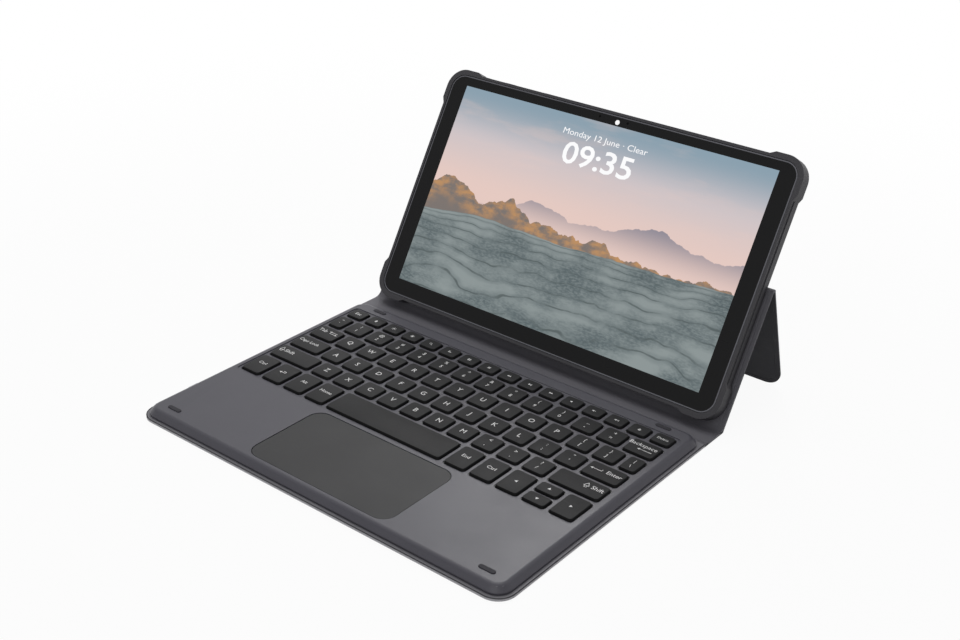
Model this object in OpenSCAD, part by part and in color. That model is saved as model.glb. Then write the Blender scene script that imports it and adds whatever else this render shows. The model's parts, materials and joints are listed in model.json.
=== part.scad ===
// Keyboard folio case with its tablet fitted, standing on the kickstand half of its back cover.
// Origin: centre of the underside of the base. +X runs to the right, +Y towards the tablet.

/* [Cover] */
// Width of the folio cover, left to right
case_w = 259; // [250:1:300]
// Depth of the base, from its front edge to the spine fold
base_d = 182; // [176:1:210]
// Corner radius of the cover
cover_corner_r = 11; // [4:0.5:16]
// Thickness of the outer skin
skin_t = 0.5; // [0.3:0.05:0.8]
// Thickness of the stiffener board inside the cover
board_t = 0.7; // [0.4:0.05:1.2]
// Thickness of the lining over the board
lining_t = 0.4; // [0.2:0.05:0.8]
// Width of the glued seam around each board
seam_w = 3; // [1.5:0.25:6]
// Half of the flexible gap left open at each fold
fold_gap = 0.25; // [0.15:0.05:0.5]

/* [Deck] */
// Strip of cover left bare around the deck
deck_inset = 2.2; // [1:0.1:5]
// Height of the deck above the cover
deck_h = 4.8; // [4.6:0.1:7]
// Height of the bottom shell's upright wall
deck_wall_h = 1.4; // [1:0.1:2]
// Corner radius of the deck
deck_corner_r = 9; // [5:0.5:14]
// How far the sloped edge of the top shell runs in
deck_bevel = 2.8; // [1.5:0.1:4]
// Thickness of the top shell
top_shell_t = 1.2; // [1:0.05:1.6]
// Thickness of the bottom shell's floor
floor_t = 0.8; // [0.5:0.05:1.2]
// Depth of the recess that the keys stand in
well_depth = 0.5; // [0.2:0.05:0.7]

/* [Keys] */
// Distance between key centres along a row
key_pitch = 17.25; // [15.5:0.05:17.7]
// Distance between the letter rows
row_pitch = 16.6; // [15:0.1:17]
// Gap between neighbouring keycaps
key_gap = 2.6; // [1.8:0.1:3.4]
// Front-to-back depth of the function row's caps
function_key_d = 10.4; // [8:0.1:12]
// Front-to-back depth of the front row's caps
front_key_d = 20; // [14:0.1:21]
// Distance from the deck's rear fold to the rear of the key field
field_setback = 13.3; // [13:0.1:20]
// Height of the caps above the deck
key_rise = 0.9; // [0.5:0.05:1.3]
// Height of a keycap
cap_h = 2.4; // [2.1:0.05:2.6]
// Thickness of a keycap's top
cap_top_t = 0.9; // [0.6:0.05:1]
// Thickness of a keycap's skirt at its foot
cap_wall = 1.1; // [0.9:0.05:1.5]
// How far a keycap's sides lean in
cap_taper = 0.6; // [0.3:0.05:0.8]
// Corner radius of a keycap
cap_corner_r = 2; // [1:0.1:3]
// Gap between a keycap and its hole in the deck
key_clearance = 0.3; // [0.2:0.05:0.6]

/* [Touchpad] */
// Width of the touchpad
touchpad_w = 100; // [80:1:115]
// Front-to-back depth of the touchpad
touchpad_d = 55.5; // [46:0.5:57]
// Distance from the base's front edge to the touchpad
touchpad_setback = 8; // [7.5:0.5:12]
// Corner radius of the touchpad
touchpad_corner_r = 8; // [3:0.5:12]
// Thickness of the touchpad plate
touchpad_t = 0.8; // [0.6:0.05:1]
// How far the touchpad lies below the deck
touchpad_sink = 0.15; // [0.05:0.05:0.3]
// Gap around the touchpad
touchpad_clearance = 0.35; // [0.25:0.05:0.6]

/* [Spine] */
// Width of the spine strip between the base and the lid
spine_w = 17; // [16.5:0.5:20]

/* [Lid] */
// Angle of the lid above the table
lid_angle = 59.5; // [50:0.5:70]
// Length of the lower lid panel, from the spine to the kickstand fold
panel_len = 82.5; // [76:0.5:88]
// Distance from the spine fold to the tablet shell
shell_setback = 3.5; // [2.5:0.25:8]

/* [Kickstand] */
// Angle of the kickstand above the table
leg_angle = 71; // [66:0.5:80]
// Thickness of the kickstand's stiffener board
leg_board_t = 0.4; // [0.3:0.05:0.6]
// Corner radius of the kickstand's foot
leg_corner_r = 11; // [5:0.5:16]

/* [Tablet] */
// Width of the tablet
tablet_w = 247; // [236:0.5:252]
// Height of the tablet
tablet_h = 147.5; // [143:0.5:156]
// Thickness of the tablet
tablet_t = 7.6; // [6.5:0.1:8]
// Corner radius of the tablet
tablet_corner_r = 9; // [6:0.5:12]
// Width of the picture area
display_w = 224; // [214:0.5:226]
// Height of the picture area
display_h = 131; // [126:0.5:134]
// Distance from the picture area to the tablet's top edge
top_border = 6.2; // [5:0.1:8]
// Thickness of the cover glass
glass_t = 0.6; // [0.4:0.05:0.9]

/* [Tablet shell] */
// Thickness of the shell's back
shell_back_t = 1.4; // [1.3:0.05:2]
// Thickness of the shell's walls
shell_wall = 1.6; // [1.3:0.05:2.2]
// Gap between the tablet and the shell
shell_fit = 0.3; // [0.25:0.05:0.5]
// How far the shell's rim stands above the glass
rim_rise = 0.4; // [0.2:0.05:0.7]
// How far the corner bumpers stand out
bumper_t = 1.8; // [1.2:0.1:3]
// Length of a corner bumper past its corner
bumper_len = 8; // [4:0.5:16]
// Side of the square camera window
camera_window = 22; // [18:0.5:24]

/* [Hidden] */
$fn = 48;

// A small overshoot that lets cutters pass cleanly through a face
cut = 1;

skin_color = [0.20, 0.20, 0.22];
board_color = [0.45, 0.42, 0.38];
lining_color = [0.30, 0.30, 0.32];
deck_color = [0.40, 0.40, 0.43];
key_color = [0.13, 0.13, 0.14];
shell_color = [0.26, 0.26, 0.28];
metal_color = [0.70, 0.70, 0.72];
glass_color = [0.05, 0.05, 0.06];

// Levels of the base, upwards from the table
cover_t = skin_t + board_t + lining_t;
deck_wall_z = cover_t + deck_wall_h;
deck_z = cover_t + deck_h;
ceiling_z = deck_z - top_shell_t;
well_z = deck_z - well_depth;
floor_z = cover_t + floor_t;
key_top_z = deck_z + key_rise;
cap_foot_z = key_top_z - cap_h;
key_travel = 1.2;

// The deck lies between the cover's front lip and the spine fold
rear_margin = 1.2;
deck_w = case_w - 2 * deck_inset;
deck_d = base_d - deck_inset - rear_margin;
deck_y = (deck_inset - rear_margin) / 2;
wall_inset = 1.5;
cavity_inset = deck_bevel + 0.8;

// Key field: widths are in key pitches, each row adds up to field_units
field_units = 14;
row_units = [
    [for (i = [1:16]) field_units / 16],
    concat([0.75], [for (i = [1:12]) 1], [1.25]),
    concat([1.25], [for (i = [1:12]) 1], [0.75]),
    concat([1.5], [for (i = [1:11]) 1], [1.5]),
    concat([2], [for (i = [1:10]) 1], [2]),
    [1, 1, 1, 1, 5, 1, 1, 1, 1, 1]];
letter_key_d = row_pitch - key_gap;
row_depths = [function_key_d, letter_key_d, letter_key_d, letter_key_d, letter_key_d, front_key_d];
FUNCTION = 0;
NUMBER = 1;
TOP = 2;
HOME = 3;
BOTTOM = 4;
FRONT = 5;
// The up and down arrows share one place in the front row
STACK = 8;
field_rear = base_d / 2 - field_setback;
field_w = field_units * key_pitch;
field_d = sum_before(row_depths, len(row_depths)) + len(row_depths) * key_gap;
well_margin = 0.6;

function sum_before(list, i) = i <= 0 ? 0 : list[i - 1] + sum_before(list, i - 1);
// Key positions and widths are kept to a hundredth of a millimetre
function snap(x) = round(x * 100) / 100;
function row_y(row) = snap(field_rear - sum_before(row_depths, row) - row * key_gap
    - (key_gap + row_depths[row]) / 2);
function key_x(row, i) =
    snap((sum_before(row_units[row], i) + (row_units[row][i] - field_units) / 2) * key_pitch);
function key_w(row, i) = snap(row_units[row][i] * key_pitch - key_gap);

// Touchpad
touchpad_front = -base_d / 2 + touchpad_setback;
touchpad_y = touchpad_front + touchpad_d / 2;
touchpad_top_z = deck_z - touchpad_sink;
touchpad_foot_z = touchpad_top_z - touchpad_t;
click_gap = 1;
touchpad_board_t = 0.8;
touchpad_board_z = touchpad_foot_z - click_gap - touchpad_board_t;

// Keyboard stack under the caps
plate_t = 0.4;
membrane_t = 0.3;
plate_z = floor_z;
membrane_z = plate_z + plate_t;
dome_z = membrane_z + membrane_t;
dome_gap = 0.3;
dome_h = key_top_z - cap_top_t - key_travel - dome_gap - dome_z;
dome_foot_r = 2.6;
dome_top_r = 1.7;

// Pads that meet the shell's rim when the case is shut
pad_w = 10;
pad_d = 3;
pad_rise = 0.5;
pad_seat = 0.5;
pad_front_y = -base_d / 2 + 11.7;
pad_rear_y = base_d / 2 - 7.8;
pad_front_x = case_w / 2 - 18;
pad_rear_x = case_w / 2 - 23.5;

// The battery and the main board lie under the palm rest, in the middle of its depth
palm_d = field_rear - field_d + base_d / 2;
palm_y = (palm_d - base_d) / 2;
bay_x = case_w / 2 - 40;
battery_w = 50;
battery_d = palm_d - 28.7;
battery_t = 2.4;
board_w = 46;
board_d = palm_d - 32.7;

// Left side of the deck: charging socket and power switch
socket_w = 9;
socket_h = 3.2;
socket_d = 7.3;
socket_shell_t = 0.3;
socket_y = palm_y + 4;
socket_z = ceiling_z - socket_h / 2;
side_x = -deck_w / 2;
socket_x = side_x + 1.2;
switch_y = -8;
switch_slot_w = 6.4;
switch_slot_h = 1.7;
switch_knob_w = 3;
switch_clearance = 0.3;
switch_recess = 0.9;
switch_travel = switch_slot_w - switch_knob_w - 2 * switch_clearance;
switch_z = floor_z + 1.7;

// Folds
hinge_z = cover_t;
spine_fold_y = base_d / 2;
lid_fold_y = spine_fold_y + spine_w;

// Lid: the panel's inner face passes through the lid fold
panel_t = cover_t;
shell_w = tablet_w + 2 * (shell_fit + shell_wall);
shell_h = tablet_h + 2 * (shell_fit + shell_wall);
shell_corner_r = tablet_corner_r + shell_fit + shell_wall;
shell_y = shell_setback + shell_h / 2;
shell_depth = shell_back_t + tablet_t + rim_rise;
tablet_back_z = shell_back_t;
display_y = shell_y + tablet_h / 2 - top_border - display_h / 2;

// Kickstand: its fold lies in the panel's outer face, and it reaches down to the table
fold_angle = lid_angle + leg_angle;
leg_axis_z = hinge_z + panel_len * sin(lid_angle) - panel_t * cos(lid_angle);
leg_len = leg_axis_z / sin(leg_angle);

// Camera in the tablet's upper left corner, seen through windows in the shell and kickstand
camera_margin = 20;
camera_x = -tablet_w / 2 + camera_margin;
camera_y = shell_y + tablet_h / 2 - camera_margin;
camera_ring_r = 8;
camera_ring_t = 1;
camera_lens_r = 5;
window_r = 4;

// Buttons in the tablet's top edge
button_t = 2.4;
button_rise = 0.2;
button_seat = 1.4;
button_z = tablet_back_z + tablet_t / 2;
power_x = -92;
power_w = 10;
volume_x = -66;
volume_w = 20;
button_clearance = 0.3;
button_room = 3;

// Disc magnets
magnet_r = 5;
magnet_t = 0.6;
magnet_spread = 90;

// ---- shared shapes ----

module rounded_rect(w, d, r) {
    square([w - 2 * r, d], center = true);
    square([w, d - 2 * r], center = true);
    for (x = [-1, 1], y = [-1, 1])
        translate([x * (w / 2 - r), y * (d / 2 - r)]) circle(r = r);
}

// A slot outline with full round ends, w long and d wide
module slot(w, d) {
    square([w - d, d], center = true);
    for (x = [-1, 1]) translate([x * (w - d) / 2, 0]) circle(d = d);
}

module rounded_slab(w, d, h, r) {
    linear_extrude(h) rounded_rect(w, d, r);
}

// A rounded slab whose four sides lean in by lean over its height
module leaning_slab(w, d, h, r, lean) {
    span_x = w - 2 * r;
    span_y = d - 2 * r;
    translate([-span_x / 2, 0, 0]) rotate([90, 0, 90]) linear_extrude(span_x)
        polygon([[-d / 2, 0], [d / 2, 0], [d / 2 - lean, h], [lean - d / 2, h]]);
    translate([0, span_y / 2, 0]) rotate([90, 0, 0]) linear_extrude(span_y)
        polygon([[-w / 2, 0], [w / 2, 0], [w / 2 - lean, h], [lean - w / 2, h]]);
    for (x = [-1, 1], y = [-1, 1])
        translate([x * span_x / 2, y * span_y / 2, 0]) cylinder(h = h, r1 = r, r2 = r - lean);
}

// A rectangle from y0 to y1 with its two corners at y1 rounded
module flap_outline(w, y0, y1, r) {
    translate([-w / 2, y0]) square([w, y1 - r - y0]);
    translate([r - w / 2, y0]) square([w - 2 * r, y1 - y0]);
    for (x = [-1, 1]) translate([x * (w / 2 - r), y1 - r]) circle(r = r);
}

// The base's outline, shrunk by inset, with its front corners rounded
module base_outline(inset) {
    rotate(180) flap_outline(case_w - 2 * inset, fold_gap + inset - base_d / 2,
        base_d / 2 - inset, cover_corner_r - inset);
}

// A strip of cover from y0 to y1, shrunk by inset
module strip_outline(y0, y1, inset) {
    translate([inset - case_w / 2, y0 + inset]) square([case_w - 2 * inset, y1 - y0 - 2 * inset]);
}

module in_lid() {
    translate([0, lid_fold_y, hinge_z]) rotate([lid_angle, 0, 0]) children();
}

module in_kickstand() {
    in_lid() translate([0, panel_len, -panel_t]) rotate([-fold_angle, 0, 0]) children();
}

module disc_pair(y, z, r, t) {
    for (x = [-1, 1]) translate([x * magnet_spread, y, z]) cylinder(h = t, r = r);
}

// ---- base: folio cover ----

module base_cover_skin() color(skin_color) linear_extrude(skin_t) base_outline(0);

module base_cover_board() color(board_color) difference() {
    translate([0, 0, skin_t]) linear_extrude(board_t) base_outline(seam_w);
    disc_pair(magnet_y, skin_t - cut, magnet_r, board_t + 2 * cut);
}

module base_cover_lining() color(lining_color) difference() {
    translate([0, 0, skin_t]) linear_extrude(board_t + lining_t) base_outline(0);
    translate([0, 0, skin_t - cut]) linear_extrude(board_t + cut) base_outline(seam_w);
}

magnet_y = touchpad_front + magnet_r;

module cover_magnets() color(metal_color) disc_pair(magnet_y, skin_t, magnet_r, magnet_t);

// ---- base: deck ----

module deck_bottom_shell() color(deck_color) difference() {
    union() {
        difference() {
            translate([0, deck_y, cover_t])
                rounded_slab(deck_w, deck_d, deck_wall_h, deck_corner_r);
            translate([0, deck_y, floor_z])
                rounded_slab(deck_w - 2 * wall_inset, deck_d - 2 * wall_inset, deck_h,
                    deck_corner_r - wall_inset);
        }
        // Posts that carry the touchpad's board
        for (x = [-1, 1], y = [-1, 1])
            translate([x * touchpad_post_x, touchpad_y + y * touchpad_post_y, floor_z])
                cylinder(h = touchpad_board_z - floor_z, r = post_r);
    }
    socket_cutter();
}

post_r = 2.5;
touchpad_post_x = touchpad_w / 2 - 12;
touchpad_post_y = touchpad_d / 2 - 10;

module socket_cutter() {
    translate([side_x - cut, socket_y - socket_w / 2, socket_z - socket_h / 2])
        cube([socket_x - side_x + socket_d + cut, socket_w, socket_h + cut / 4]);
}

module key_holes() {
    for (row = [0:len(row_units) - 1], i = [0:len(row_units[row]) - 1])
        if (!(row == FRONT && i == STACK))
            translate([key_x(row, i), row_y(row)])
                rounded_rect(key_w(row, i) + 2 * key_clearance, row_depths[row] + 2 * key_clearance,
                    cap_corner_r + key_clearance);
    for (side = [-1, 1]) translate([key_x(FRONT, STACK), row_y(FRONT) + side * stack_y])
        rounded_rect(key_w(FRONT, STACK) + 2 * key_clearance, stack_d + 2 * key_clearance,
            cap_corner_r + key_clearance);
}

// Up and down arrows: two shallow caps in one place
stack_gap = 1.8;
stack_d = snap((front_key_d - stack_gap) / 2);
stack_y = snap((stack_d + stack_gap) / 2);

module deck_top_shell() color(deck_color) difference() {
    translate([0, deck_y, deck_wall_z])
        leaning_slab(deck_w, deck_d, deck_z - deck_wall_z, deck_corner_r, deck_bevel);
    translate([0, deck_y, deck_wall_z - cut])
        rounded_slab(deck_w - 2 * cavity_inset, deck_d - 2 * cavity_inset,
            ceiling_z - deck_wall_z + cut, deck_corner_r - cavity_inset);
    translate([0, field_rear - field_d / 2, well_z])
        rounded_slab(field_w + 2 * well_margin, field_d + 2 * well_margin, deck_h,
            cap_corner_r + well_margin);
    translate([0, 0, ceiling_z - cut]) linear_extrude(deck_h) key_holes();
    translate([0, touchpad_y, ceiling_z - cut])
        rounded_slab(touchpad_w + 2 * touchpad_clearance, touchpad_d + 2 * touchpad_clearance,
            deck_h, touchpad_corner_r + touchpad_clearance);
    pad_places() translate([0, 0, deck_z - pad_seat]) linear_extrude(deck_h) slot(pad_w, pad_d);
    socket_cutter();
    translate([side_x - cut, switch_y - switch_slot_w / 2, switch_z - switch_slot_h / 2])
        cube([cavity_inset + 2 * cut, switch_slot_w, switch_slot_h]);
}

module pad_places() {
    for (x = [-1, 1]) {
        translate([x * pad_front_x, pad_front_y, 0]) children();
        translate([x * pad_rear_x, pad_rear_y, 0]) children();
    }
}

module deck_pads() color(key_color) pad_places()
    translate([0, 0, deck_z - pad_seat]) linear_extrude(pad_rise + pad_seat) slot(pad_w, pad_d);

module key_backplate() color(metal_color)
    translate([0, field_rear - field_d / 2, plate_z]) rounded_slab(field_w, field_d, plate_t, 2);

module key_membrane() color([0.75, 0.78, 0.7])
    translate([0, field_rear - field_d / 2, membrane_z])
        rounded_slab(field_w - 2, field_d - 2, membrane_t, 2);

module dome() cylinder(h = dome_h, r1 = dome_foot_r, r2 = dome_top_r);

module rubber_domes() color([0.85, 0.85, 0.82]) translate([0, 0, dome_z]) {
    for (row = [0:len(row_units) - 1], i = [0:len(row_units[row]) - 1])
        if (!(row == FRONT && i == STACK)) translate([key_x(row, i), row_y(row), 0]) dome();
    for (side = [-1, 1]) translate([key_x(FRONT, STACK), row_y(FRONT) + side * stack_y, 0]) dome();
}

circuit_t = 0.8;
chip_w = 6;
chip_t = 0.9;

module main_board() color([0.1, 0.35, 0.2]) translate([-bay_x, palm_y, floor_z]) {
    rounded_slab(board_w, board_d, circuit_t, 1.5);
    for (x = [-1, 0, 1]) translate([x * 2 * chip_w - chip_w / 2, x * chip_w / 2, circuit_t])
        cube([chip_w, chip_w, chip_t]);
}

module battery() color([0.75, 0.75, 0.78]) translate([bay_x, palm_y, floor_z])
    rounded_slab(battery_w, battery_d, battery_t, 3);

module charging_socket() color(metal_color)
    translate([socket_x, socket_y, socket_z]) rotate([90, 0, 90]) {
        difference() {
            linear_extrude(socket_d) slot(socket_w, socket_h);
            translate([0, 0, -cut]) linear_extrude(socket_d - socket_shell_t + cut)
                slot(socket_w - 2 * socket_shell_t, socket_h - 2 * socket_shell_t);
        }
        translate([-socket_w / 2 + socket_tongue_inset, -socket_tongue_t / 2, socket_tongue_recess])
            cube([socket_w - 2 * socket_tongue_inset, socket_tongue_t,
                socket_d - socket_tongue_recess]);
    }
socket_tongue_t = 0.7;
socket_tongue_inset = 1.3;
socket_tongue_recess = 1;

// ---- touchpad ----

module touchpad_board() color([0.1, 0.35, 0.2]) {
    translate([0, touchpad_y, touchpad_board_z])
        rounded_slab(touchpad_w - 12, touchpad_d - 10, touchpad_board_t, 3);
    translate([0, touchpad_front + click_setback, touchpad_board_z + touchpad_board_t])
        cylinder(h = click_dome_h, r = 2);
}
click_setback = 9;
click_dome_h = 0.25;

// The plate turns about its rear edge, where two tabs reach under the deck
module touchpad_plate() color([0.3, 0.3, 0.31]) {
    translate([0, touchpad_y, touchpad_foot_z])
        rounded_slab(touchpad_w, touchpad_d, touchpad_t, touchpad_corner_r);
    for (x = [-1, 1]) translate([x * touchpad_w / 4 - tab_w / 2, 0, 0]) {
        translate([0, touchpad_y + touchpad_d / 2 - tab_root, tab_z])
            cube([tab_w, tab_root + tab_reach, tab_t]);
        translate([0, touchpad_y + touchpad_d / 2 - tab_root, tab_z])
            cube([tab_w, tab_root, touchpad_foot_z - tab_z]);
    }
}
tab_w = 12;
tab_root = 1.5;
tab_reach = 2.4;
tab_t = 0.35;
tab_z = ceiling_z - touchpad_clearance - tab_t;

// The switch rests at the front end of its slot
module power_switch() color(key_color)
    translate([side_x + switch_recess, switch_y - (switch_travel + switch_knob_w) / 2,
            switch_z + switch_clearance - switch_slot_h / 2])
        cube([cavity_inset, switch_knob_w, switch_slot_h - 2 * switch_clearance]);

// ---- spine ----

module spine_skin() color(skin_color) difference() {
    linear_extrude(cover_t)
        strip_outline(spine_fold_y + fold_gap, lid_fold_y - fold_gap, 0);
    translate([0, 0, skin_t]) linear_extrude(board_t)
        strip_outline(spine_fold_y + fold_gap, lid_fold_y - fold_gap, seam_w);
}

module spine_stiffener() color(board_color) translate([0, 0, skin_t]) linear_extrude(board_t)
    strip_outline(spine_fold_y + fold_gap, lid_fold_y - fold_gap, seam_w);

// ---- lid ----

module lid_panel_skin() color(skin_color) in_lid() translate([0, 0, -panel_t])
    linear_extrude(skin_t) strip_outline(fold_gap, panel_len - fold_gap, 0);

module lid_panel_board() color(board_color) in_lid() translate([0, 0, skin_t - panel_t])
    linear_extrude(board_t) strip_outline(fold_gap, panel_len - fold_gap, seam_w);

module lid_panel_lining() color(lining_color) in_lid() difference() {
    translate([0, 0, skin_t - panel_t]) linear_extrude(board_t + lining_t)
        strip_outline(fold_gap, panel_len - fold_gap, 0);
    translate([0, 0, skin_t - panel_t - cut]) linear_extrude(board_t + cut)
        strip_outline(fold_gap, panel_len - fold_gap, seam_w);
}

// One corner bumper, seen from the centre of the corner's arc
module bumper_outline(r) {
    reach = r + bumper_t;
    ramp = 2 * bumper_t;
    circle(r = reach);
    polygon([[0, 0], [0, reach], [-bumper_len, reach], [-bumper_len - ramp, r],
        [-bumper_len - ramp, 0]]);
    polygon([[0, 0], [reach, 0], [reach, -bumper_len], [r, -bumper_len - ramp],
        [0, -bumper_len - ramp]]);
}

module shell_outline() {
    rounded_rect(shell_w, shell_h, shell_corner_r);
    for (x = [0, 1], y = [0, 1]) mirror([x, 0]) mirror([0, y])
        translate([shell_w / 2 - shell_corner_r, shell_h / 2 - shell_corner_r])
            bumper_outline(shell_corner_r);
}

module tablet_shell() color(shell_color) in_lid() translate([0, shell_y, 0]) difference() {
    union() {
        linear_extrude(shell_depth) rounded_rect(shell_w, shell_h, shell_corner_r);
        translate([0, 0, bumper_foot]) linear_extrude(shell_depth - bumper_foot) shell_outline();
        // Raised band around the walls
        translate([0, 0, band_z]) linear_extrude(band_h)
            rounded_rect(shell_w + 2 * band_t, shell_h + 2 * band_t, shell_corner_r + band_t);
    }
    translate([0, 0, shell_back_t]) linear_extrude(shell_depth)
        rounded_rect(tablet_w + 2 * shell_fit, tablet_h + 2 * shell_fit, tablet_corner_r + shell_fit);
    // Camera window
    translate([camera_x, camera_y - shell_y, -cut]) rounded_slab(camera_window, camera_window,
        shell_depth, window_r);
    // Button and socket openings
    for (b = [[power_x, power_w], [volume_x, volume_w]])
        translate([b[0], shell_h / 2, button_z]) rotate([90, 0, 0])
            translate([0, 0, -shell_wall]) linear_extrude(3 * shell_wall)
                rounded_rect(b[1] + button_room, button_t + button_room, 2);
    translate([-shell_w / 2, 0, button_z]) rotate([90, 0, 90]) translate([0, 0, -shell_wall])
        linear_extrude(3 * shell_wall)
            rounded_rect(socket_w + button_room, socket_h + button_room, 2.5);
    magnet_pockets();
}
bumper_foot = 0.8;
band_z = 3.2;
band_h = 3.4;
band_t = 0.5;

shell_magnet_y = panel_len + 18 - shell_y;
module magnet_pockets() disc_pair(shell_magnet_y, magnet_skin, magnet_r, magnet_t);
magnet_skin = 0.4;
module shell_magnets() color(metal_color) in_lid() translate([0, shell_y, 0]) magnet_pockets();

// ---- kickstand ----

module leg_outline(inset) {
    difference() {
        flap_outline(case_w - 2 * inset, fold_gap + inset, leg_len - inset, leg_corner_r - inset);
        translate([camera_x, camera_y - panel_len])
            rounded_rect(camera_window + 2 * inset + window_margin,
                camera_window + 2 * inset + window_margin, window_r + inset + window_margin / 2);
    }
}
window_margin = 2;

module kickstand_skin() color(skin_color) in_kickstand() linear_extrude(skin_t) leg_outline(0);

module kickstand_board() color(board_color) in_kickstand() translate([0, 0, skin_t]) difference() {
    linear_extrude(leg_board_t) leg_outline(seam_w);
    disc_pair(leg_magnet_y, -cut, magnet_r, leg_board_t + 2 * cut);
}

module kickstand_lining() color(lining_color) in_kickstand() difference() {
    translate([0, 0, skin_t]) linear_extrude(leg_board_t + lining_t) leg_outline(0);
    translate([0, 0, skin_t - cut]) linear_extrude(leg_board_t + cut) leg_outline(seam_w);
}

leg_magnet_y = 18;
module kickstand_magnets() color(metal_color) in_kickstand()
    disc_pair(leg_magnet_y, skin_t, magnet_r, leg_board_t);

// ---- tablet ----

module in_tablet() {
    in_lid() translate([0, shell_y, tablet_back_z]) children();
}

back_lean = 1.2;
back_edge_h = 1.6;
glass_inset = 0.7;
display_t = glass_t;

module tablet_housing() color([0.25, 0.25, 0.27]) in_tablet() difference() {
    union() {
        mirror([0, 0, 1]) translate([0, 0, -back_edge_h])
            leaning_slab(tablet_w, tablet_h, back_edge_h, tablet_corner_r, back_lean);
        translate([0, 0, back_edge_h])
            rounded_slab(tablet_w, tablet_h, tablet_t - back_edge_h, tablet_corner_r);
    }
    translate([0, 0, tablet_t - glass_t]) rounded_slab(tablet_w - 2 * glass_inset,
        tablet_h - 2 * glass_inset, tablet_t, tablet_corner_r - glass_inset);
    for (b = [[power_x, power_w], [volume_x, volume_w]])
        translate([b[0], tablet_h / 2 - button_seat, tablet_t / 2]) rotate([-90, 0, 0])
            linear_extrude(tablet_t)
                rounded_rect(b[1] + 2 * button_clearance, button_t + 2 * button_clearance, 1);
    translate([-tablet_w / 2 - cut, -socket_w / 2, (tablet_t - socket_h) / 2])
        cube([socket_d + cut, socket_w, socket_h]);
    translate([camera_x, camera_y - shell_y, -cut]) cylinder(h = camera_ring_t + cut, r = camera_ring_r);
}

lens_y = display_y - shell_y + display_h / 2 + 2.3;
sensor_y = lens_y + 1;
lens_x = 3;
lens_r = 1.5;
sensor_r = 0.8;
sensor_xs = [lens_x - 13, lens_x + 7];

module tablet_glass() color(glass_color) in_tablet() translate([0, 0, tablet_t - glass_t])
    difference() {
        rounded_slab(tablet_w - 2 * glass_inset, tablet_h - 2 * glass_inset, glass_t,
            tablet_corner_r - glass_inset);
        translate([-display_w / 2, display_y - shell_y - display_h / 2, -cut])
            cube([display_w, display_h, tablet_t]);
        translate([lens_x, lens_y, -cut]) cylinder(h = tablet_t, r = lens_r);
        for (x = sensor_xs) translate([x, sensor_y, -cut]) cylinder(h = tablet_t, r = sensor_r);
    }

module tablet_display() color([0.5, 0.55, 0.65]) in_tablet()
    translate([-display_w / 2, display_y - shell_y - display_h / 2, tablet_t - glass_t])
        cube([display_w, display_h, display_t]);

module front_camera_lens() color([0.02, 0.02, 0.04]) in_tablet()
    translate([lens_x, lens_y, tablet_t - glass_t]) cylinder(h = glass_t, r = lens_r);

module light_sensor_windows() color([0.02, 0.02, 0.04]) in_tablet()
    for (x = sensor_xs) translate([x, sensor_y, tablet_t - glass_t])
        cylinder(h = glass_t, r = sensor_r);

module rear_camera_ring() color(metal_color) in_tablet()
    translate([camera_x, camera_y - shell_y, 0]) difference() {
        translate([0, 0, -camera_rise]) cylinder(h = camera_rise + camera_ring_t, r = camera_ring_r);
        translate([0, 0, -camera_rise - cut])
            cylinder(h = camera_rise + camera_ring_t + 2 * cut, r = camera_lens_r);
    }
camera_rise = 0.8;

module rear_camera_lens() color(glass_color) in_tablet()
    translate([camera_x, camera_y - shell_y, -camera_rise / 2])
        cylinder(h = camera_rise / 2 + camera_ring_t, r = camera_lens_r);

module tablet_socket() color(metal_color) in_tablet()
    translate([-tablet_w / 2, 0, tablet_t / 2]) rotate([90, 0, 90]) difference() {
        linear_extrude(socket_d) square([socket_w, socket_h], center = true);
        translate([0, 0, -cut]) linear_extrude(socket_d - socket_shell_t + cut)
            slot(socket_w - 2 * socket_shell_t, socket_h - 2 * socket_shell_t);
    }

module tablet_button(x, w) color(metal_color) in_tablet()
    translate([x, tablet_h / 2 - button_seat + button_travel + button_clearance, tablet_t / 2])
        rotate([-90, 0, 0]) linear_extrude(button_rise + button_seat - button_travel - button_clearance)
            rounded_rect(w, button_t, 0.9);
button_travel = 0.2;

module tablet_power_button() tablet_button(power_x, power_w);
module tablet_volume_rocker() tablet_button(volume_x, volume_w);

// ---- keycaps ----

module cap(w, d) {
    translate([0, 0, cap_foot_z]) difference() {
        leaning_slab(w, d, cap_h, cap_corner_r, cap_taper);
        translate([-w / 2 + cap_wall, -d / 2 + cap_wall, -cut])
            cube([w - 2 * cap_wall, d - 2 * cap_wall, cap_h - cap_top_t + cut]);
    }
}

// The caps of one row, from the first to the last place given
module caps(row, first, last) color(key_color)
    for (i = [first:last]) translate([key_x(row, i), row_y(row), 0])
        cap(key_w(row, i), row_depths[row]);

function last_place(row) = len(row_units[row]) - 1;

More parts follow.
